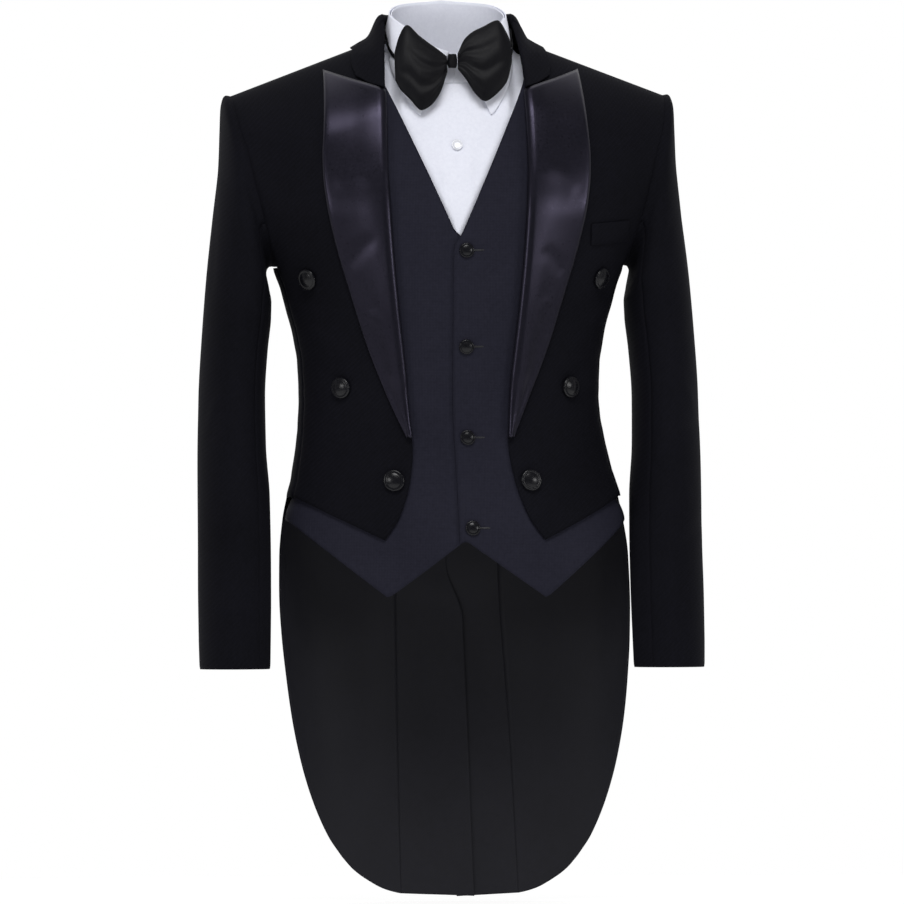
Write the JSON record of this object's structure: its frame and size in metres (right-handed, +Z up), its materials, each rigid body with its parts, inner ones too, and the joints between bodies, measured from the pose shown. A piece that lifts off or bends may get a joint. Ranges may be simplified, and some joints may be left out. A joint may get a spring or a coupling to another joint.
{
  "type": "tailcoat suit",
  "caption": "Black tailcoat with satin peak lapels, worn open over a dark waistcoat, white collared shirt front and bow tie, standing hollow as if worn.",
  "frame": {"origin": "middle of the neck, at the height where the shoulder line meets it; the wearer's shoulders and neck hold the garment there", "axes": "+Z up, the front faces -Y, the wearer's left is at +X"},
  "size_m": [0.547, 0.2383, 0.968],
  "materials": {
    "coat_wool": "matt black wool-blend twill",
    "coat_satin": "black polyester satin, soft gloss",
    "covered_button": "satin stretched over a dome",
    "waistcoat_cloth": "matt charcoal suiting",
    "shirt_poplin": "white cotton poplin",
    "shirt_button": "white pearl-like polyester",
    "bow_satin": "black satin"
  },
  "bodies": {
    "root": {"coat_front_r": "coat_wool", "coat_front_l": "coat_wool", "coat_side_r": "coat_wool", "coat_side_l": "coat_wool", "coat_back_r": "coat_wool", "coat_back_l": "coat_wool", "coat_tail_r": "coat_wool", "coat_tail_l": "coat_wool", "coat_collar": "coat_wool", "sleeve_top_r": "coat_wool", "sleeve_top_l": "coat_wool", "sleeve_under_r": "coat_wool", "sleeve_under_l": "coat_wool", "lapel_r": "coat_satin", "lapel_l": "coat_satin", "breast_welt": "coat_satin", "coat_button_r_1": "covered_button", "coat_button_r_2": "covered_button", "coat_button_r_3": "covered_button", "coat_button_l_1": "covered_button", "coat_button_l_2": "covered_button", "coat_button_l_3": "covered_button", "waistcoat_front_r": "waistcoat_cloth", "waistcoat_front_l": "waistcoat_cloth", "waistcoat_back": "waistcoat_cloth", "waistcoat_button_1": "covered_button", "waistcoat_button_2": "covered_button", "waistcoat_button_3": "covered_button", "waistcoat_button_4": "covered_button", "shirt_front": "shirt_poplin", "shirt_yoke": "shirt_poplin", "shirt_stand": "shirt_poplin", "shirt_leaf": "shirt_poplin", "shirt_button": "shirt_button", "bow_band": "bow_satin", "bow_wing_r": "bow_satin", "bow_wing_l": "bow_satin", "bow_knot": "bow_satin"}
  },
  "joints": []
}
